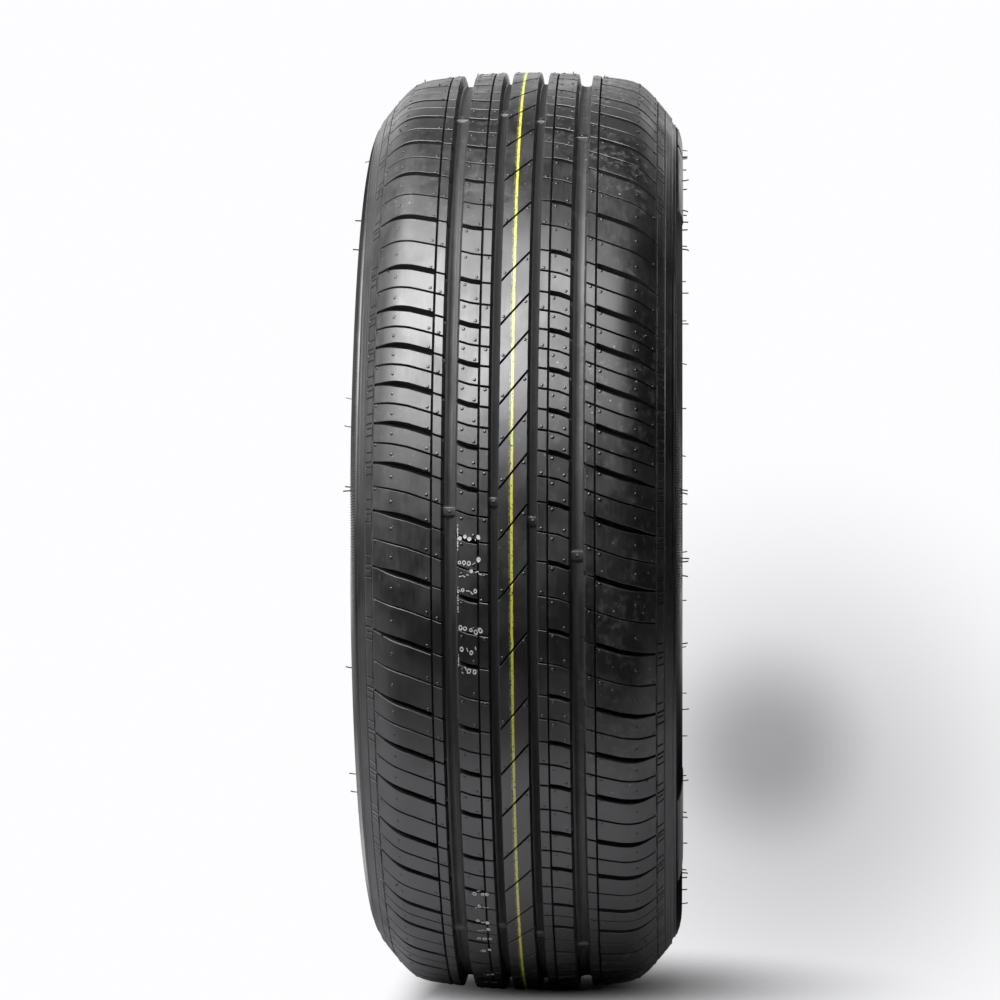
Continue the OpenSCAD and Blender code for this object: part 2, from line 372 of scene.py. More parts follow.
def rubber_surface_group():
    """Grain of the mould, cloudy bloom and pale dust, shared by every rubber material."""
    group = bpy.data.node_groups.new("rubber surface", "ShaderNodeTree")
    for name in ("Dust", "Bloom"):
        group.interface.new_socket(name=name, in_out="INPUT", socket_type="NodeSocketFloat")
    for name in ("Dust Mask", "Bloom Mask"):
        group.interface.new_socket(name=name, in_out="OUTPUT", socket_type="NodeSocketFloat")
    group.interface.new_socket(name="Normal", in_out="OUTPUT", socket_type="NodeSocketVector")
    inputs = group.nodes.new("NodeGroupInput")
    outputs = group.nodes.new("NodeGroupOutput")
    place = group.nodes.new("ShaderNodeTexCoord").outputs["Object"]
    parts = new_node(group, "ShaderNodeSeparateXYZ", Vector=place)
    cloud = ramp(group, noise(group, place, **CLOUD_NOISE), *CLOUD_RANGE)
    bloom = math_node(group, "MULTIPLY", cloud, inputs.outputs["Bloom"])
    settled = math_node(group, "ADD", ramp(group, parts.outputs["Z"], *SETTLED_UP),
                        ramp(group, parts.outputs["Y"], *SETTLED_ACROSS))
    along = new_node(group, "ShaderNodeMapping", Vector=place, Scale=STREAK_SCALE)
    streaks = noise(group, along.outputs["Vector"], **STREAK_NOISE)
    streaked = math_node(group, "MULTIPLY_ADD", streaks, STREAK_BLOOM, bloom)
    cells = new_node(group, "ShaderNodeTexVoronoi", Vector=place, Scale=SPECK_SCALE)
    picked = new_node(group, "ShaderNodeSeparateColor", Color=cells.outputs["Color"])
    rare = ramp(group, picked.outputs[0], *SPECK_PICKED)
    near = math_node(group, "SUBTRACT", 1.0, ramp(group, cells.outputs["Distance"], *SPECK_EDGE))
    patches = noise(group, place, **PATCH_NOISE)
    specks = math_node(group, "MULTIPLY", math_node(group, "MULTIPLY", rare, near),
                       ramp(group, patches, *SPECK_PATCHES))
    mottle = noise(group, place, **FILM_NOISE)
    film = math_node(group, "MULTIPLY", ramp(group, mottle, *FILM_RANGE),
                     ramp(group, patches, *FILM_PATCHES))
    loose = math_node(group, "MULTIPLY_ADD", film, FILM_SHARE, specks)
    dust = math_node(group, "MULTIPLY",
                     math_node(group, "MULTIPLY", loose, inputs.outputs["Dust"]), settled)
    grain = noise(group, place, **GRAIN_NOISE)
    height = math_node(group, "MULTIPLY_ADD", streaks, STREAK_GRAIN, grain)
    bump = new_node(group, "ShaderNodeBump", Height=height, Distance=GRAIN_HEIGHT,
                    Strength=GRAIN_STRENGTH)
    group.links.new(dust, outputs.inputs["Dust Mask"])
    group.links.new(streaked, outputs.inputs["Bloom Mask"])
    group.links.new(bump.outputs["Normal"], outputs.inputs["Normal"])
    return group


rubber_surface = rubber_surface_group()
RUBBER = (0.011, 0.011, 0.0115, 1)
RUBBER_BLOOM = (0.024, 0.024, 0.0255, 1)
RUBBER_PAINTED_SHADE = (0.004, 0.004, 0.0042, 1)
DUST = (0.6, 0.6, 0.58, 1)
RUBBER_IOR = 1.8
RUBBER_SHINE = 1.0
BLOOM_ROUGH = 0.25
CLEAN_SMOOTH = 0.04
SUNK_ROUGH = 0.6


def rubber_material(name, roughness=0.3, dust=0.6, bloom=0.6):
    """Moulded rubber with painted shade where it is sunk. Returns it, its tree, shader and colour
    socket.
    """
    material = bpy.data.materials.new(name)
    material.use_nodes = True
    tree = material.node_tree
    shader = tree.nodes["Principled BSDF"]
    shader.inputs["IOR"].default_value = RUBBER_IOR
    shader.inputs["Specular IOR Level"].default_value = RUBBER_SHINE
    sunk = new_node(tree, "ShaderNodeAttribute", attribute_name="sunk").outputs["Fac"]
    dull = new_node(tree, "ShaderNodeAttribute", attribute_name="dull").outputs["Fac"]
    surface = tree.nodes.new("ShaderNodeGroup")
    surface.node_tree = rubber_surface
    surface.inputs["Dust"].default_value = dust
    surface.inputs["Bloom"].default_value = bloom
    bloomed = mix_colour(tree, surface.outputs["Bloom Mask"], RUBBER, RUBBER_BLOOM)
    dusty = mix_colour(tree, surface.outputs["Dust Mask"], bloomed, DUST)
    # Painted shade: sunk rubber is mixed towards a darker colour by the sunk attribute.
    colour = mix_colour(tree, sunk, dusty, RUBBER_PAINTED_SHADE)
    rough = math_node(tree, "MULTIPLY_ADD", surface.outputs["Bloom Mask"], BLOOM_ROUGH,
                      roughness - CLEAN_SMOOTH)
    matt = math_node(tree, "MULTIPLY_ADD", dull, SUNK_ROUGH, rough)
    tree.links.new(matt, shader.inputs["Roughness"])
    tree.links.new(surface.outputs["Normal"], shader.inputs["Normal"])
    tree.links.new(colour, shader.inputs["Base Color"])
    return material, tree, shader, colour


# Place across in metres, colour, and wear of the two lime lines.
LIME_LINES = (((-0.0025, -0.0016), (0.24, 0.28, 0.05, 1), 0.44),
              ((-0.0014, 0.0002), (0.95, 0.95, 0.12, 1), 0.3))
LIME_R = (0.3144, 0.3146)
LIME_EDGE = 0.0003
LIME_WANDER = 0.0006
LIME_WANDER_NOISE = {"Scale": 160.0, "Detail": 3.0}
LIME_WEAR_NOISE = {"Scale": 700.0, "Detail": 2.0}
LIME_WEAR_EDGE = 0.12


def tread_material():
    """Tread rubber with the double lime line that is painted round it when it is extruded."""
    material, tree, shader, colour = rubber_material("tread rubber")
    place = tree.nodes.new("ShaderNodeTexCoord").outputs["Object"]
    parts = new_node(tree, "ShaderNodeSeparateXYZ", Vector=place)
    squares = [math_node(tree, "POWER", parts.outputs[axis], 2.0) for axis in ("X", "Z")]
    radius = math_node(tree, "SQRT", math_node(tree, "ADD", *squares))
    wander = noise(tree, place, **LIME_WANDER_NOISE)
    across = math_node(tree, "MULTIPLY_ADD", wander, LIME_WANDER, parts.outputs["Y"])
    painted = ramp(tree, radius, *LIME_R)
    worn = noise(tree, place, **LIME_WEAR_NOISE)
    for (low, high), paint, thin in LIME_LINES:
        past = math_node(tree, "SUBTRACT", 1.0, ramp(tree, across, high, high + LIME_EDGE))
        inside = math_node(tree, "MULTIPLY", ramp(tree, across, low, low + LIME_EDGE), past)
        whole = ramp(tree, worn, thin, thin + LIME_WEAR_EDGE)
        mask = math_node(tree, "MULTIPLY", math_node(tree, "MULTIPLY", inside, painted), whole)
        colour = mix_colour(tree, mask, colour, paint)
    tree.links.new(colour, shader.inputs["Base Color"])
    return material


tread = new_piece("tread", tread_mesh(), tread_material(), sharp=TREAD_SHARP)
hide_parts("tyre")

# Wear bars: low rubber steps across the main grooves, level with the least tread that is safe.
# They are moulded with the tread, in one row of four every sixth of a turn.
# Their ends are slanted, and each one carries a vent pip.
WEAR_BAR_L = 9
WEAR_BAR_H = 1.7
WEAR_BAR_SLOPE = 1.6
WEAR_BAR_ROUND = 1.0
WEAR_BAR_TURN = 60
# Side, groove, and angle past each sixth of a turn.
WEAR_BARS = ((-1, OUTER_GROOVE, -2.6), (-1, INNER_GROOVE, -3.7), (1, INNER_GROOVE, -1.5),
             (1, OUTER_GROOVE, 2.5))
PIP_D = 2.3
PIP_SIDES = 8
PIP_RINGS = 4


def stand_at(w, angle, s, r, lean=0.0):
    """Matrix from millimetres across, along and out of the surface to a place on the tyre."""
    turn = math.radians(angle) + s / OUTER_R
    radial = Vector((math.cos(turn), 0, -math.sin(turn)))
    along = Vector((-math.sin(turn), 0, -math.cos(turn)))
    side = Vector((0, 1, 0))
    out = radial * math.cos(lean) + side * math.sin(lean)
    across = side * math.cos(lean) - radial * math.sin(lean)
    matrix = Matrix((across, along, out)).transposed().to_4x4() @ Matrix.Scale(MM, 4)
    matrix.translation = (radial * r + side * w) * MM
    return matrix


def add_pip(bm, matrix):
    """Low round nub that the air vent of the mould leaves, with its lower half in the rubber."""
    size = Matrix.Diagonal((PIP_D / 2, PIP_D / 2, PIP_H, 1))
    bmesh.ops.create_uvsphere(bm, u_segments=PIP_SIDES, v_segments=PIP_RINGS, radius=1,
                              matrix=matrix @ size)


def wear_bar_mesh():
    bm = bmesh.new()
    for turn in range(0, 360, WEAR_BAR_TURN):
        for side, (start, end), offset in WEAR_BARS:
            w = side * (start + end) / 2
            place = stand_at(w, turn + offset, 0, surface_r(w) - GROOVE_DEPTH)
            others = set(bm.verts)
            made = bmesh.ops.create_cube(bm, size=2)["verts"]
            for vert in made:
                raised = vert.co.z > 0
                vert.co.x *= (end - start) / 2 - GROOVE_DRAFT / 2
                vert.co.y *= WEAR_BAR_L / 2 - (WEAR_BAR_SLOPE if raised else 0)
                vert.co.z = WEAR_BAR_H if raised else -1
            top = [e for v in made for e in v.link_edges if all(p.co.z > 0 for p in e.verts)]
            bmesh.ops.bevel(bm, geom=list(set(top)), offset=WEAR_BAR_ROUND, segments=3,
                            profile=0.5, affect="EDGES", material=-1)
            bmesh.ops.transform(bm, matrix=place, verts=[v for v in bm.verts if v not in others])
            add_pip(bm, place @ Matrix.Translation((0, 0, WEAR_BAR_H)))
    bmesh.ops.recalc_face_normals(bm, faces=bm.faces)
    return bm


pip_rubber = rubber_material("vent pip rubber", roughness=0.28, dust=0.0, bloom=0.0)[0]
groove_rubber = rubber_material("groove rubber", roughness=0.34, dust=0.3)[0]
new_piece("wear_bars", wear_bar_mesh(), groove_rubber)

# Vent pips: blunt nubs of rubber on the blocks, where air left the mould through fine holes.
# They stand under half a millimetre high and repeat with the pitches.
# The two sides of the tread have the same ones, the other way round.
# Where in the pitch, place across, and move along the tread.
PIPS = (("quarter", -76, 0), ("three", -76, 0), ("slot", -53.6, -3), ("sipe", -53.6, -3),
        ("sipe", -47.2, -1.8), ("slot", -31.8, 4), ("sipe", -31.8, 4), ("slot", -24.4, -3.5),
        ("sipe", -24.4, -3.5), ("sipe", -17.6, 2), ("sipe", -86.6, 1.6), ("slot", -6.8, -3.2))
PIP_SHARES = {"slot": 0, "quarter": 0.25, "sipe": 0.5, "three": 0.75}


def surface_lean(w):
    """Lean of the surface towards the side, in radians."""
    return math.atan2(surface_r(w - 1) - surface_r(w + 1), 2)


def vent_pip_mesh():
    """Each pitch is made on its own and then joined to the rest, which is quicker."""
    bm = bmesh.new()
    joined = bpy.data.meshes.new("one pitch")
    for start, end in zip(PITCHES, PITCHES[1:]):
        pitch = bmesh.new()
        for side in (1, -1):
            for kind, w, offset in PIPS:
                angle = start + (end - start) * PIP_SHARES[kind]
                at = w * side
                s = slant(at) + offset * side
                add_pip(pitch, stand_at(at, angle, s, surface_r(at), surface_lean(at)))
        pitch.to_mesh(joined)
        pitch.free()
        bm.from_mesh(joined)
    bpy.data.meshes.remove(joined)
    for vert in bm.verts:
        vert.co.z = max(vert.co.z, FLAT_Z)
    bmesh.ops.recalc_face_normals(bm, faces=bm.faces)
    return bm


new_piece("vent_pips", vent_pip_mesh(), pip_rubber, sharp=math.pi)

# Ink marks: rows of small white rings and dashes that were stamped on one rib at the works.
# They are a thin coat of stamping ink on the rubber, worn and broken, in two groups on the left.
INK_H = 0.07
INK_STROKE = 0.55
INK_SIDES = 12
INK_DISH = 1.8
INK_SEED = 7
INK_STRAY = (-1.9, 1.9)
INK_TURN = (-0.6, 0.6)
INK_RING_CHANCE = {"rings": 0.75, "dashes": 0.25}
INK_RING_R = (1.1, 1.35)
INK_RING_STRETCH = (1.0, 1.5)
INK_RING_ROOM = 1.1
INK_DASH_L = (0.9, 2.6)
INK_DASH_ACROSS = 0.6
INK_SPACING = (1.5, 2.7)
# Angle, first and last place across, and what most marks of the row are.
INK_ROWS = ((0.6, -32.6, -19.5, "rings"), (3.1, -33, -21, "rings"), (4.5, -32.4, -18.4, "dashes"),
            (6.5, -32.8, -21.5, "rings"), (7.6, -19.6, -18, "dashes"), (10.9, -32.6, -20, "rings"),
            (13.3, -32, -22, "dashes"), (15.6, -31.5, -24, "dashes"), (47.1, -28.5, -19, "rings"),
            (50.0, -28, -18.5, "dashes"), (53.2, -27.5, -18.8, "rings"), (55.2, -27, -20, "dashes"),
            (57.5, -27.6, -18.6, "rings"), (60.6, -27, -19, "dashes"), (69.7, -27, -19, "rings"),
            (74.6, -27, -19, "rings"))
INK_EDGE_AT = -34.0
INK_EDGE_ANGLES = ((-1.0, 1.8), (6.0, 8.8), (13.8, 15.3))
INK_EDGE_L = (0.6, 2.0)
INK_EDGE_W = (0.35, 0.75)
INK_EDGE_GAP = (0.2, 0.9)


def add_ink_dash(bm, matrix, width, length):
    size = Matrix.Diagonal((width, length, INK_H * 2, 1))
    bmesh.ops.create_cube(bm, size=1, matrix=matrix @ size)


def add_ink_ring(bm, matrix, radius):
    """Flat ring of ink: a low disc whose middle drops below the rubber."""
    others = set(bm.verts)
    made = bmesh.ops.create_cone(bm, cap_ends=True, segments=INK_SIDES, radius1=radius,
                                 radius2=radius, depth=INK_H * 2)["verts"]
    faces = {f for v in made for f in v.link_faces}
    top = [f for f in faces if all(v.co.z > 0 for v in f.verts)]
    bmesh.ops.inset_region(bm, faces=top, thickness=INK_STROKE)
    bmesh.ops.inset_region(bm, faces=top, thickness=INK_H)
    bmesh.ops.translate(bm, vec=(0, 0, -INK_H * INK_DISH), verts=top[0].verts[:])
    bmesh.ops.transform(bm, matrix=matrix, verts=[v for v in bm.verts if v not in others])


def ink_mesh():
    bm = bmesh.new()
    draw = random.Random(INK_SEED)
    for angle, start, end, kind in INK_ROWS:
        w = start
        while w < end:
            place = stand_at(w, angle, draw.uniform(*INK_STRAY), surface_r(w), surface_lean(w))
            place = place @ Matrix.Rotation(draw.uniform(*INK_TURN), 4, "Z")
            if draw.random() < INK_RING_CHANCE[kind]:
                stretch = Matrix.Scale(draw.uniform(*INK_RING_STRETCH), 4, (0, 1, 0))
                add_ink_ring(bm, place @ stretch, draw.uniform(*INK_RING_R))
                w += INK_RING_ROOM
            else:
                sizes = (draw.uniform(*INK_DASH_L), INK_STROKE)
                if draw.random() >= INK_DASH_ACROSS:
                    sizes = sizes[::-1]
                add_ink_dash(bm, place, *sizes)
            w += draw.uniform(*INK_SPACING)
    edge_r, edge_lean = surface_r(INK_EDGE_AT), surface_lean(INK_EDGE_AT)
    for first, last in INK_EDGE_ANGLES:
        angle = first
        while angle < last:
            length = draw.uniform(*INK_EDGE_L)
            place = stand_at(INK_EDGE_AT, angle, 0, edge_r, edge_lean)
            add_ink_dash(bm, place, draw.uniform(*INK_EDGE_W), length)
            angle += math.degrees((length + draw.uniform(*INK_EDGE_GAP)) / OUTER_R)
    bmesh.ops.recalc_face_normals(bm, faces=bm.faces)
    return bm


INK = (0.93, 0.93, 0.91, 1)
INK_WORN = (0.12, 0.12, 0.12, 1)
INK_ROUGHNESS = 0.7
INK_WEAR_NOISE = {"Scale": 900.0, "Detail": 3.0}
INK_WEAR_RANGE = (0.2, 0.36)


def ink_material():
    material = bpy.data.materials.new("stamping ink")
    material.use_nodes = True
    tree = material.node_tree
    shader = tree.nodes["Principled BSDF"]
    shader.inputs["Roughness"].default_value = INK_ROUGHNESS
    place = tree.nodes.new("ShaderNodeTexCoord").outputs["Object"]
    left = ramp(tree, noise(tree, place, **INK_WEAR_NOISE), *INK_WEAR_RANGE)
    tree.links.new(mix_colour(tree, left, INK_WORN, INK), shader.inputs["Base Color"])
    return material


new_piece("ink_marks", ink_mesh(), ink_material())

# Shoulder bands: a narrow decorated ring of rubber below each edge of the tread.
# They are moulded with it, and thin lines, ticks and dots are engraved in them, which repeat
# with the pitches of the tread.
BAND_EDGE = 95.1
BAND_STEP = 0.7
BAND_CORNER = 0.4
BAND_FIELD = (90, 92)
BAND_START = (EDGE.y + 0.02, 0.2)
BAND_BACK = ((BAND_EDGE + 0.05, 3), (91, 5.5), (EDGE.y - 1, 4))  # (w, depth) inside the rubber
LINE_WALL = 0.25
LINE_DEPTH = 0.75
LINE_FAINT = 0.2
CUT_DEPTH = 0.7
# Place along the tread, half width, and reach across of the marks of one pitch.
MARKS = ((-6.6, 0.45, (88.9, 92)), (0, 0.6, (88.9, 93)), (3.4, 0.5, (90, 92)),
         (8.4, 0.45, (88.9, 93)))
BAND_LINES = ((88.3, 88.8), (93.2, 93.7))


def band_columns():
    """(place across, depth, which line runs there) once round the section of one band."""
    (inner, inner_end), (outer, outer_end) = BAND_LINES
    back = [(w, depth, 0) for w, depth in BAND_BACK]
    plain = [(w, 0, 0) for w in (inner_end + LINE_WALL, *BAND_FIELD, outer - LINE_WALL)]
    return [back[-1], (*BAND_START, 1), (inner, 0, 1), (inner_end, 0, 1), *plain,
            (outer, 0, 2), (outer_end, 0, 2), (outer_end + LINE_WALL, 0, 0),
            (BAND_EDGE - BAND_CORNER, 0, 0), (BAND_EDGE, BAND_STEP / 2, 0), *back]


def band_rows():
    """(angle, move along the tread, reach of the cut across, depth of the inner line)."""
    rows = []
    for start, end in zip(PITCHES, PITCHES[1:]):
        rows += [((start + end) / 2, 0, None, LINE_FAINT)]
        for at, half, reach in MARKS:
            line = LINE_FAINT if at == 0 else LINE_DEPTH
            rows += [(end, at - half - LINE_WALL, None, line), (end, at - half, reach, line),
                     (end, at + half, reach, line), (end, at + half + LINE_WALL, None, line)]
    return rows + [(rows[0][0] + 360, *rows[0][1:])]


def band_mesh():
    columns = band_columns()
    rows = band_rows()
    bm = bmesh.new()
    painted_shade_layer = bm.verts.layers.float.new("sunk")
    dull_layer = bm.verts.layers.float.new("dull")
    for side in (1, -1):
        made = bmesh.ops.create_grid(bm, x_segments=len(columns) - 1, y_segments=len(rows) - 1,
                                     size=1)["verts"]
        for vert in made:
            (w, sunk, line), (angle, move, reach, line_depth) = grid_place(vert, columns, rows)
            engraved = (0, line_depth, LINE_DEPTH / 2)[line]
            if reach and sunk == 0 and reach[0] <= w <= reach[1]:
                engraved = max(engraved, CUT_DEPTH)
            # Engraved lines and cuts get painted shade, and are dulled by the same share.
            vert[painted_shade_layer] = vert[dull_layer] = min(engraved / CUT_DEPTH, 1)
            s = slant(w) * side + move
            vert.co = on_tyre(w * side, angle, s, surface_r(w) - max(sunk, engraved))
    bmesh.ops.remove_doubles(bm, verts=bm.verts, dist=MERGE)
    bmesh.ops.recalc_face_normals(bm, faces=bm.faces)
    return bm


band_rubber = rubber_material("shoulder rubber", roughness=0.32, dust=0.4)[0]
new_piece("shoulder_bands", band_mesh(), band_rubber)

# Carcass: cords and plies cured in rubber, from one bead over the crown to the other.
# Its sidewalls carry a step, a channel and raised rings, and the beads hold the wheel rim.
# It is one turned shell, open towards the axle, with the air chamber inside.
SPIN_STEPS = 300
BEAD_HALF = 82.5
LAND_R = 201.5
BEAD_TAPER = 1.4
HEEL_R = 5
HEEL_PULLS = (0.55, 0.45)
HEEL_STEPS = 6
TOE = 64.5
TOE_ROUND = 1.2
BEAD_FOOT = ((0, 7), (0, TOE_ROUND), (0.4, 0.3))  # r past the land and w past the toe
CHAMBER_R = 300
CHAMBER_STEPS = 16
CHAMBER_HALF = 39.6
CHAMBER_DROP = 1.5
SIDEWALL_GAUGE = 7.5
UNDER_CROWN = (0, 30, 60, 74, 82)
CROWN_LAP = 1
SHOULDER_SEAT = (89, 4)
LOWER_PULLS = (Vector((-20, 0)), Vector((20, 4)))
TOE_PULL = Vector((19, 0))
INNER_PULLS = (Vector((-24, -1)), Vector((24, -1)))
CROWN_PULL = Vector((-7, 40))
heel_top = Vector((LAND_R + BEAD_TAPER + HEEL_R, BEAD_HALF))
heel_foot = Vector((LAND_R + BEAD_TAPER, BEAD_HALF - HEEL_R))
inner_toe = Vector((LAND_R + TOE_ROUND, TOE))
inner_widest = Vector(((LAND_R + CHAMBER_R) / 2, WIDEST.y - SIDEWALL_GAUGE))
inner_crown = Vector((CHAMBER_R - CHAMBER_DROP, CHAMBER_HALF))
lower_wall = interpolate_bezier(WIDEST, WIDEST + LOWER_PULLS[0], heel_top + LOWER_PULLS[1],
                                heel_top, WALL_STEPS)
wall_line = sorted((p.x, p.y) for p in upper_wall + lower_wall[1:])
# Radius and height of the corners of the rings and steps on a sidewall.
RELIEF = [(210, 0), (217.8, 0), (218.4, 0.8), (219.8, 0.8), (220.4, 0), (223.8, 0), (224.4, 0.8),
          (225.8, 0.8), (226.4, 0), (233.2, 0), (234.4, 1.3), (235.6, 1.6), (236.8, 1.3),
          (238.4, 0), (253.4, 0), (254, 0.7), (255.2, 0.7), (255.8, -0.3), (278.2, -0.3),
          (278.8, 0.1), (279.4, 0), (279.8, -0.9), (283, -0.9), (283.4, 0), (283.7, 0.35),
          (284.3, 0.35), (284.6, 0), (287.9, -0.05), (289.5, -1.5)]
RELIEF_CLEAR = 0.8


def sidewall_points():
    """Outside of one sidewall from the shoulder band to the bead, with its steps and rings."""
    low, high = RELIEF[0][0], RELIEF[-1][0]
    fine = [r for r, _ in wall_line[::2] if low < r < high]
    fine = [r for r in fine if not any(abs(r - at) < RELIEF_CLEAR for at, _ in RELIEF)]
    heights = sorted(fine + [r for r, _ in RELIEF], reverse=True)
    return [Vector((r, lookup(r, wall_line) + lookup(r, RELIEF))) for r in heights]


def carcass_half():
    """Section of one half: outside from the crown to the heel, then inside back to the crown."""
    points = [Vector((surface_r(w) - BAND_DEPTH + CROWN_LAP, w)) for w in UNDER_CROWN]
    seat_w, seat_depth = SHOULDER_SEAT
    points += [Vector((surface_r(seat_w) - seat_depth, seat_w))] + sidewall_points()
    points += interpolate_bezier(heel_top, heel_top - Vector((HEEL_R * HEEL_PULLS[0], 0)),
                                 heel_foot + Vector((0, HEEL_R * HEEL_PULLS[1])), heel_foot,
                                 HEEL_STEPS)
    points += [Vector((LAND_R + r, TOE + w)) for r, w in BEAD_FOOT]
    points += interpolate_bezier(inner_toe, inner_toe + TOE_PULL, inner_widest + INNER_PULLS[0],
                                 inner_widest, CHAMBER_STEPS)
    points += interpolate_bezier(inner_widest, inner_widest + INNER_PULLS[1],
                                 inner_crown + CROWN_PULL, inner_crown, CHAMBER_STEPS)[1:]
    return points + [Vector((CHAMBER_R, 0))]


def carcass_mesh():
    half = carcass_half()
    section = half + [Vector((p.x, -p.y)) for p in reversed(half[1:-1])]
    bm = bmesh.new()
    ring = [bm.verts.new((p.x * MM, p.y * MM, 0)) for p in section]
    edges = [bm.edges.new(pair) for pair in zip(ring, ring[1:] + ring[:1])]
    bmesh.ops.spin(bm, geom=ring + edges, axis=(0, 1, 0), cent=(0, 0, 0), angle=math.tau,
                   steps=SPIN_STEPS, use_merge=True)
    bmesh.ops.remove_doubles(bm, verts=bm.verts, dist=MERGE)
    bmesh.ops.recalc_face_normals(bm, faces=bm.faces)
    return bm


sidewall_rubber = rubber_material("sidewall rubber", roughness=0.34, dust=0.3)[0]
new_piece("carcass", carcass_mesh(), sidewall_rubber)

# Serrations: fine ridges of rubber that stand across a band on each sidewall.
# They are moulded with it, and their ends run into the smooth rings on both sides.
SERRATED = (256.2, 277.8)
RIDGE_GROUPS = 101
RIDGES_A_GROUP = 10
RIDGE_W = 0.95
RIDGE_H = 0.4
RIDGE_ROOT = 0.65
RIDGE_SEGMENTS = 4


def serration_mesh():
    """One ridge a side is a closed strip over three edges, turned into all the others."""
    low, high = SERRATED
    foot, far_foot = (RIDGE_W / 2, -RIDGE_ROOT), (-RIDGE_W / 2, -RIDGE_ROOT)
    corners = (foot, (0, RIDGE_H), far_foot, foot)
    bm = bmesh.new()
    for side in (1, -1):
        made = bmesh.ops.create_grid(bm, x_segments=len(corners) - 1, y_segments=RIDGE_SEGMENTS,
                                     size=1)["verts"]
        for vert in made:
            z, height = corners[round((vert.co.x + 1) / 2 * (len(corners) - 1))]
            r = low + (high - low) * (vert.co.y + 1) / 2
            vert.co = Vector((r, (lookup(r, wall_line) + height) * side, z)) * MM
        bmesh.ops.remove_doubles(bm, verts=made, dist=MERGE)
        bmesh.ops.holes_fill(bm, edges=[e for e in bm.edges if e.is_boundary], sides=3)
        turn = math.tau / RIDGE_GROUPS
        spins = ((RIDGES_A_GROUP - 1, turn / RIDGES_A_GROUP), (RIDGE_GROUPS - 1, turn))
        for copies, step in spins:
            ridges = [g for g in bm.verts[:] if g.co.y * side > 0]
            ridges += [g for g in bm.edges[:] + bm.faces[:] if g.verts[0].co.y * side > 0]
            bmesh.ops.spin(bm, geom=ridges, axis=(0, 1, 0), cent=(0, 0, 0), angle=step * copies,
                           steps=copies, use_duplicate=True)
    bmesh.ops.recalc_face_normals(bm, faces=bm.faces)
    return bm


new_piece("serrations", serration_mesh(), sidewall_rubber)

# Sidewall panels: plain raised fields of rubber that interrupt the serrations.
# They are moulded with the sidewall, with slanted ends, and left smooth.
PANEL_BAND = (257.2, 276.6)
PANEL_H = 0.9
PANEL_ROOT = 0.8
PANEL_SLANT = 30
PANEL_STEPS = 6
PANEL_STEPS_A_DEGREE = 1.5
PANEL_ROUND = 0.25
PANEL_RIM_ANGLE = math.radians(50)
PANELS = ((1, -85, -70), (1, -69, -50), (1, 37, 54.3), (1, 120, 150), (1, 210, 228),
          (-1, 110, 140), (-1, 150, 166), (-1, 215, 240))  # side, first and last angle


def panel_mesh():
    bm = bmesh.new()
    low, high = PANEL_BAND
    for side, start, end in PANELS:
        along = round((end - start) * PANEL_STEPS_A_DEGREE)
        made = bmesh.ops.create_grid(bm, x_segments=PANEL_STEPS, y_segments=along, size=1)["verts"]
        faces = list({f for v in made for f in v.link_faces})
        grown = bmesh.ops.extrude_face_region(bm, geom=faces)["geom"]
        top = {g for g in grown if isinstance(g, bmesh.types.BMVert)}
        for vert in set(made) | top:
            r = low + (high - low) * (vert.co.x + 1) / 2
            tilt = (vert.co.x * (high - low) / 2) * math.tan(math.radians(PANEL_SLANT))
            turn = math.radians(start + (end - start) * (vert.co.y + 1) / 2) + tilt / r
            w = lookup(r, wall_line) + (PANEL_H if vert in top else -PANEL_ROOT)
            vert.co = Vector((r * math.cos(turn), w * side, -r * math.sin(turn))) * MM
    bmesh.ops.remove_doubles(bm, verts=bm.verts, dist=MERGE)
    bmesh.ops.recalc_face_normals(bm, faces=bm.faces)
    rims = [e for e in bm.edges if e.calc_face_angle(0) > PANEL_RIM_ANGLE]
    bmesh.ops.bevel(bm, geom=rims, offset=PANEL_ROUND * MM, segments=2, profile=0.5,
                    affect="EDGES", material=-1)
    return bm


new_piece("sidewall_panels", panel_mesh(), sidewall_rubber)

# Vent hairs: thin soft whiskers of rubber that were drawn out of the vent holes of the mould.
# They stand out of the widest part of each sidewall, a little bent.
# Short stubs of them are left on the shoulders.
HAIR_D = 0.85
HAIR_SIDES = 6
HAIR_STEPS = 4
HAIR_R = 262
HAIR_ROOT = 0.6
HAIR_LENGTHS = (3.6, 4.8)
HAIR_BEND = 0.9
HAIR_SEED = 21
HAIRS_LEFT = (-72.3, -51, -44.4, -19, -14.9, -6.4, -5.9, 19, 36.3, 39.7, 82.6)
HAIRS_RIGHT = (-85.2, -74.1, -73, -62.5, -53.5, -50.5, -48.6, -44.4, -35.9, -30.6, -6, -5.6, 3.4,
               3.9, 5.8, 15.4, 25.3, 37.4, 44.6, 59, 60.7)
HAIRS_BEHIND = tuple(range(96, 265, 8))
# Place across and angle of each stub.
STUBS = ((-71, -84), (-58, -74), (-36, -88), (30, -86), (52, -81), (69, -78), (78, -70),
         (-80, -60), (80, -55), (-81, -33), (81, -24), (-82, 12), (82, 31), (-79, 48), (80, 62))
STUB_L = 1.6
STUB_BEND = Vector((0.3, -0.2))


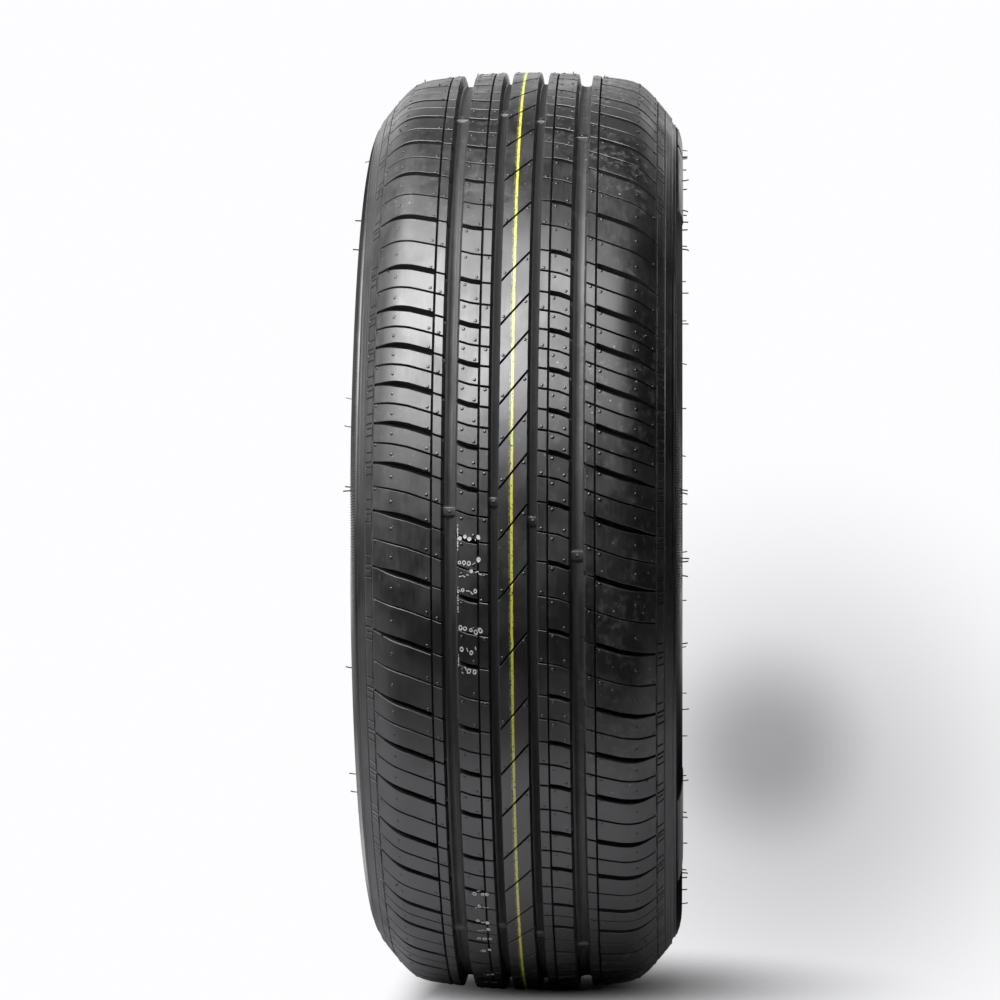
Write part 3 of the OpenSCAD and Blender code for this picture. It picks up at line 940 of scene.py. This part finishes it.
def add_hair(bm, matrix, length, bend):
    """Rod of even steps that leans over more towards its tip."""
    made = bmesh.ops.create_circle(bm, cap_ends=True, segments=HAIR_SIDES,
                                   radius=HAIR_D / 2)["verts"]
    bmesh.ops.translate(bm, vec=(0, 0, -HAIR_ROOT), verts=made)
    tip = list({f for v in made for f in v.link_faces})
    rod = set(made)
    step = (length + HAIR_ROOT) / HAIR_STEPS
    for number in range(1, HAIR_STEPS + 1):
        grown = bmesh.ops.extrude_face_region(bm, geom=tip)["geom"]
        fresh = [g for g in grown if isinstance(g, bmesh.types.BMVert)]
        tip = [g for g in grown if isinstance(g, bmesh.types.BMFace)]
        moved = bend * (number / HAIR_STEPS) ** 2 - bend * ((number - 1) / HAIR_STEPS) ** 2
        bmesh.ops.translate(bm, vec=(moved.x, moved.y, step), verts=fresh)
        rod.update(fresh)
    bmesh.ops.transform(bm, matrix=matrix, verts=list(rod))


def vent_hair_mesh():
    bm = bmesh.new()
    draw = random.Random(HAIR_SEED)
    for side, angles in ((-1, HAIRS_LEFT + HAIRS_BEHIND), (1, HAIRS_RIGHT + HAIRS_BEHIND)):
        w = lookup(HAIR_R, wall_line) * side
        for angle in angles:
            bend = Vector((draw.uniform(-1, 1), draw.uniform(-1, 1))) * HAIR_BEND
            place = stand_at(w, angle, 0, HAIR_R, side * math.pi / 2)
            add_hair(bm, place, draw.uniform(*HAIR_LENGTHS), bend)
    for w, angle in STUBS:
        add_hair(bm, stand_at(w, angle, 0, surface_r(w), surface_lean(w)), STUB_L, STUB_BEND)
    bmesh.ops.recalc_face_normals(bm, faces=bm.faces)
    return bm


new_piece("vent_hairs", vent_hair_mesh(), pip_rubber)

# Studio: a round sheet of white paper under the tyre, two soft boxes at the left,
# a white room that is dim towards the tyre, and a camera level with the middle of the tyre,
# a little to its right.
FLOOR_R = 1.32
FLOOR_SIDES = 96
FLOOR_AT = -0.9
PAPER = (0.5, 0.5, 0.52, 1)
PAPER_ROUGHNESS = 0.9
BACKGROUND = (0.985, 0.985, 1, 1)
FADE_FROM = (0, 0.02, FLAT_Z)
SEEN_FADE = (0.03, 0.27)
MIRRORED_FADE = (1.1, 1.5)
LIT_SIDE = (-0.1, -0.05)
# Direction, reach and depth of the painted shadows, soft grey clouds in the white behind the tyre.
SHADES = (((-0.9972, 0.0297, -0.0691), (0.0, 0.085), 0.42),
          ((-0.9981, 0.0214, -0.0584), (0.004, 0.031), 0.4))
SHADE = (0.0, 0.0, 0.01, 1)
# Azimuth, elevation, reach and brightness of the pale walls of the room.
ROOM_SIDES = ((180, 10, 42, 1.4), (-135, 20, 40, 0.25))
ROOM_DARK = 0.004
CAMERA_AT = Vector((2.8913, 0.1002, 0.0211))
CAMERA_TO = Vector((-0.9991, -0.0419, 0))
CAMERA_LENS = 150.4


def direction(azimuth, elevation):
    """Unit vector; azimuth runs from the front of the tyre to the photo's right."""
    turn, rise = math.radians(azimuth), math.radians(elevation)
    level = math.cos(rise)
    return Vector((level * math.cos(turn), level * math.sin(turn), math.sin(rise)))


def vector_node(tree, operation, first, second):
    """Value of a Vector Math node on a socket and a fixed vector."""
    made = new_node(tree, "ShaderNodeVectorMath", operation=operation)
    feed(tree, made.inputs[0], first)
    feed(tree, made.inputs[1], second)
    return made.outputs["Value"]


def mix_shader(tree, factor, first, second):
    made = new_node(tree, "ShaderNodeMixShader", Fac=factor)
    tree.links.new(first.outputs[0], made.inputs[1])
    tree.links.new(second.outputs[0], made.inputs[2])
    return made


def paper_material():
    """White paper that is only seen near the tyre: beyond its shadow the white room shows."""
    material = bpy.data.materials.new("white paper")
    material.use_nodes = True
    tree = material.node_tree
    diffuse = tree.nodes["Principled BSDF"]
    diffuse.inputs["Base Color"].default_value = PAPER
    diffuse.inputs["Roughness"].default_value = PAPER_ROUGHNESS
    glow = new_node(tree, "ShaderNodeEmission", Strength=1.0, Color=BACKGROUND)
    clear = tree.nodes.new("ShaderNodeBsdfTransparent")
    rays = tree.nodes.new("ShaderNodeLightPath").outputs
    place = tree.nodes.new("ShaderNodeTexCoord").outputs["Object"]
    parts = new_node(tree, "ShaderNodeSeparateXYZ", Vector=place)
    away = vector_node(tree, "DISTANCE", place, FADE_FROM)
    mirrored = math_node(tree, "MAXIMUM", rays["Is Glossy Ray"], rays["Is Transmission Ray"])
    far = math_node(tree, "MULTIPLY", mirrored, ramp(tree, away, *MIRRORED_FADE))
    lit = math_node(tree, "SUBTRACT", 1.0, ramp(tree, parts.outputs["Y"], *LIT_SIDE))
    unseen = math_node(tree, "MAXIMUM", lit, ramp(tree, away, *SEEN_FADE))
    hidden = math_node(tree, "MULTIPLY", rays["Is Camera Ray"], unseen)
    mix = mix_shader(tree, hidden, mix_shader(tree, far, diffuse, glow), clear)
    tree.links.new(mix.outputs[0], tree.nodes["Material Output"].inputs["Surface"])
    return material


def floor_object():
    bm = bmesh.new()
    bmesh.ops.create_circle(bm, cap_ends=True, segments=FLOOR_SIDES, radius=FLOOR_R,
                            matrix=Matrix.Translation((FLOOR_AT, 0, FLAT_Z)))
    mesh = bpy.data.meshes.new("floor")
    bm.to_mesh(mesh)
    bm.free()
    mesh.materials.append(paper_material())
    floor = bpy.data.objects.new("floor", mesh)
    bpy.context.scene.collection.objects.link(floor)


def studio_world():
    """White with a painted soft grey shadow for the camera, and a dim room with pale walls for the
    tyre.
    """
    made = bpy.data.worlds.new("studio")
    made.use_nodes = True
    tree = made.node_tree
    room = tree.nodes["Background"]
    room.inputs["Color"].default_value = BACKGROUND
    look = tree.nodes.new("ShaderNodeTexCoord").outputs["Generated"]
    level = ROOM_DARK
    for azimuth, elevation, reach, brightness in ROOM_SIDES:
        towards = vector_node(tree, "DOT_PRODUCT", look, direction(azimuth, elevation))
        edge, full = math.cos(math.radians(reach)), math.cos(math.radians(reach / 2))
        wall = ramp(tree, towards, edge, full)
        level = math_node(tree, "MULTIPLY_ADD", wall, brightness, level)
    tree.links.new(level, room.inputs["Strength"])
    colour = BACKGROUND
    # Painted shadow of the tyre on the white behind it, seen only by the camera.
    for centre, reach, depth in SHADES:
        outside = ramp(tree, vector_node(tree, "DISTANCE", look, centre), *reach)
        inside = math_node(tree, "MULTIPLY_ADD", outside, -depth, depth)
        colour = mix_colour(tree, inside, colour, SHADE)
    white = new_node(tree, "ShaderNodeBackground", Color=colour, Strength=1.0)
    rays = tree.nodes.new("ShaderNodeLightPath")
    mix = mix_shader(tree, rays.outputs["Is Camera Ray"], room, white)
    tree.links.new(mix.outputs[0], tree.nodes["World Output"].inputs["Surface"])
    return made


def add_lamp(name, azimuth, elevation, distance, width, height, brightness):
    """Soft box that faces the middle of the tyre's front, with its brightness as seen there."""
    light = bpy.data.lights.new(name, "AREA")
    light.shape = "RECTANGLE"
    light.size = width
    light.size_y = height
    light.energy = brightness * math.pi * width * height
    lamp = bpy.data.objects.new(name, light)
    front = Vector((OUTER_R * MM, 0, 0))
    away = direction(azimuth, elevation)
    lamp.location = front + away * distance
    lamp.rotation_euler = (-away).to_track_quat("-Z", "Y").to_euler()
    bpy.context.scene.collection.objects.link(lamp)


floor_object()
add_lamp("soft box", azimuth=-34, elevation=53, distance=1.5, width=1.6, height=1.35,
         brightness=5)
add_lamp("side box", azimuth=-84, elevation=32, distance=1.5, width=0.75, height=1.1,
         brightness=2.3)

scene = bpy.context.scene
scene.view_settings.view_transform = "Standard"
scene.world = studio_world()

camera_data = bpy.data.cameras.new("camera")
camera_data.lens = CAMERA_LENS
camera = bpy.data.objects.new("camera", camera_data)
camera.location = CAMERA_AT
camera.rotation_euler = CAMERA_TO.to_track_quat("-Z", "Y").to_euler()
scene.collection.objects.link(camera)
scene.camera = camera
